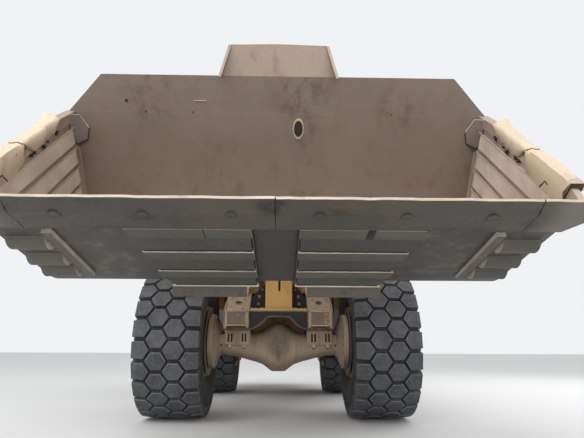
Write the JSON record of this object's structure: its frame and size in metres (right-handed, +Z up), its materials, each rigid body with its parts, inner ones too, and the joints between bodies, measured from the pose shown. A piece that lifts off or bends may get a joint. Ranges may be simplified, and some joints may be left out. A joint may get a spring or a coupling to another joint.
{
  "type": "wheel loader",
  "caption": "Articulated wheel loader with a raised rolled-back bucket, lift arms and tilt linkage, enclosed cab, rear engine hood and lugged tyres",
  "frame": {"origin": "middle of the machine's length and width, on the ground under the tyres", "axes": "-Y is forward, out over the bucket; +X is the machine's left side; +Z is up"},
  "size_m": [3.44, 9.85, 3.73],
  "materials": {
    "paint": "dusty worn yellow paint",
    "worn_paint": "paint worn through to dusty steel",
    "wear_steel": "scratched wear steel",
    "cast": "dusty painted casting",
    "drive": "oily dark casting",
    "dark_paint": "dusty dark paint",
    "rim_paint": "dusty yellow paint",
    "tyre_rubber": "dusty rubber",
    "rod_chrome": "polished rod",
    "window": "dusty window glass",
    "seat_cloth": "woven cloth",
    "cab_plastic": "matt moulding"
  },
  "bodies": {
    "root": {"rear_frame": "paint", "rear_axle": "cast", "gearbox": "drive", "engine": "drive", "counterweight": "paint", "tanks": "dark_paint", "platforms": "paint", "ladders": "dark_paint", "handrails": "paint", "hood": "paint", "stacks": "dark_paint", "radiator_guard": "paint", "cab_shell": "paint", "cab_roof": "paint", "cab_glass": "window", "seat": "seat_cloth", "console": "cab_plastic"},
    "front": {"front_frame": "paint", "front_axle": "cast", "front_fenders": "paint", "headlamps": "cab_plastic"},
    "grille_door": {"grille_door": "dark_paint"},
    "engine_door_l": {"engine_door_l": "paint"},
    "engine_door_r": {"engine_door_r": "paint"},
    "door": {"cab_door": "paint", "door_glass": "window"},
    "lift_arm": {"lift_arm": "paint"},
    "bucket": {"bucket_shell": "worn_paint", "bucket_wear": "wear_steel", "cutting_edge": "wear_steel", "spill_guard": "worn_paint"},
    "lever": {"lever": "paint"},
    "link": {"link": "paint"},
    "tilt_barrel": {"tilt_barrel": "paint"},
    "tilt_rod": {"tilt_rod": "rod_chrome"},
    "lift_barrels": {"lift_barrels": "paint"},
    "lift_rods": {"lift_rods": "rod_chrome"},
    "steer_barrel_l": {"steer_barrel_l": "paint"},
    "steer_rod_l": {"steer_rod_l": "rod_chrome"},
    "steer_barrel_r": {"steer_barrel_r": "paint"},
    "steer_rod_r": {"steer_rod_r": "rod_chrome"},
    "wheel_fl": {"tyre_fl": "tyre_rubber", "rim_fl": "rim_paint"},
    "wheel_fr": {"tyre_fr": "tyre_rubber", "rim_fr": "rim_paint"},
    "wheel_rl": {"tyre_rl": "tyre_rubber", "rim_rl": "rim_paint"},
    "wheel_rr": {"tyre_rr": "tyre_rubber", "rim_rr": "rim_paint"}
  },
  "joints": [
    {"name": "articulation", "type": "hinge", "parent": "root", "child": "front", "pos_m": [0, 0.775, 1.1], "axis": [0, 0, 1], "range_deg": [-37, 37]},
    {"name": "boom_lift", "type": "hinge", "parent": "front", "child": "lift_arm", "pos_m": [0, -0.175, 2.3], "axis": [-1, 0, 0], "range_deg": [-24.5, 57.5]},
    {"name": "bucket_tilt", "type": "hinge", "parent": "lift_arm", "child": "bucket", "pos_m": [0, -2.985, 1.61], "axis": [-1, 0, 0], "range_deg": [-112, 36]},
    {"name": "lever_pivot", "type": "hinge", "parent": "lift_arm", "child": "lever", "pos_m": [0, -2.12504, 2.06006], "axis": [-1, 0, 0], "range_deg": [-6, 17.5]},
    {"name": "link_pivot", "type": "hinge", "parent": "bucket", "child": "link", "pos_m": [0, -3.07073, 2.03137], "axis": [-1, 0, 0], "range_deg": [-11, 33]},
    {"name": "tilt_barrel_pivot", "type": "hinge", "parent": "front", "child": "tilt_barrel", "pos_m": [0, -0.175, 2.3], "axis": [-1, 0, 0], "range_deg": [-25, 58]},
    {"name": "tilt_rod_slide", "type": "slide", "parent": "tilt_barrel", "child": "tilt_rod", "axis": [0, -0.9714, 0.2376], "range_m": [-0.21, 0.07]},
    {"name": "lift_barrels_pivot", "type": "hinge", "parent": "front", "child": "lift_barrels", "pos_m": [0, 0.075, 0.85], "axis": [-1, 0, 0], "range_deg": [-7, 16]},
    {"name": "lift_rods_slide", "type": "slide", "parent": "lift_barrels", "child": "lift_rods", "axis": [0, -0.6702, 0.7422], "range_m": [-0.3, 0.7]},
    {"name": "steer_barrel_l_pivot", "type": "hinge", "parent": "root", "child": "steer_barrel_l", "pos_m": [0.33, 1.425, 1.1], "axis": [0, 0, 1], "range_deg": [-19, 19]},
    {"name": "steer_rod_l_slide", "type": "slide", "parent": "steer_barrel_l", "child": "steer_rod_l", "axis": [0.124, -0.9923, 0], "range_m": [-0.27, 0.27]},
    {"name": "steer_barrel_r_pivot", "type": "hinge", "parent": "root", "child": "steer_barrel_r", "pos_m": [-0.33, 1.425, 1.1], "axis": [0, 0, 1], "range_deg": [-19, 19]},
    {"name": "steer_rod_r_slide", "type": "slide", "parent": "steer_barrel_r", "child": "steer_rod_r", "axis": [-0.124, -0.9923, 0], "range_m": [-0.27, 0.27]},
    {"name": "cab_door_hinge", "type": "hinge", "parent": "root", "child": "door", "pos_m": [0.8323, 1.828, 2.75], "axis": [0, 0, 1], "range_deg": [0, 90]},
    {"name": "engine_door_l_hinge", "type": "hinge", "parent": "root", "child": "engine_door_l", "pos_m": [0.7323, 3.275, 2.446], "axis": [0, -1, 0], "range_deg": [0, 80]},
    {"name": "engine_door_r_hinge", "type": "hinge", "parent": "root", "child": "engine_door_r", "pos_m": [-0.7323, 3.275, 2.446], "axis": [0, 1, 0], "range_deg": [0, 80]},
    {"name": "grille_door_hinge", "type": "hinge", "parent": "root", "child": "grille_door", "pos_m": [-0.71, 4.7373, 2.05], "axis": [0, 0, 1], "range_deg": [0, 110]},
    {"name": "wheel_fl_spin", "type": "hinge", "parent": "front", "child": "wheel_fl", "pos_m": [1.215, -1.075, 0.9], "axis": [1, 0, 0], "continuous": true},
    {"name": "wheel_fr_spin", "type": "hinge", "parent": "front", "child": "wheel_fr", "pos_m": [-1.215, -1.075, 0.9], "axis": [1, 0, 0], "continuous": true},
    {"name": "wheel_rl_spin", "type": "hinge", "parent": "root", "child": "wheel_rl", "pos_m": [1.215, 2.625, 0.9], "axis": [1, 0, 0], "continuous": true},
    {"name": "wheel_rr_spin", "type": "hinge", "parent": "root", "child": "wheel_rr", "pos_m": [-1.215, 2.625, 0.9], "axis": [1, 0, 0], "continuous": true}
  ],
  "couplings": [
    {"joint": "lever_pivot", "follows": "bucket_tilt", "ratio": -0.15},
    {"joint": "link_pivot", "follows": "bucket_tilt", "ratio": -0.29},
    {"joint": "tilt_rod_slide", "follows": "bucket_tilt", "m_per_rad": 0.104},
    {"joint": "tilt_barrel_pivot", "follows": "boom_lift", "ratio": 1},
    {"joint": "lift_barrels_pivot", "follows": "boom_lift", "ratio": 0.27},
    {"joint": "lift_rods_slide", "follows": "boom_lift", "m_per_rad": 0.685},
    {"joint": "steer_barrel_l_pivot", "follows": "articulation", "ratio": 0.5},
    {"joint": "steer_barrel_r_pivot", "follows": "articulation", "ratio": 0.5},
    {"joint": "steer_rod_l_slide", "follows": "articulation", "m_per_rad": -0.401},
    {"joint": "steer_rod_r_slide", "follows": "articulation", "m_per_rad": 0.401}
  ]
}
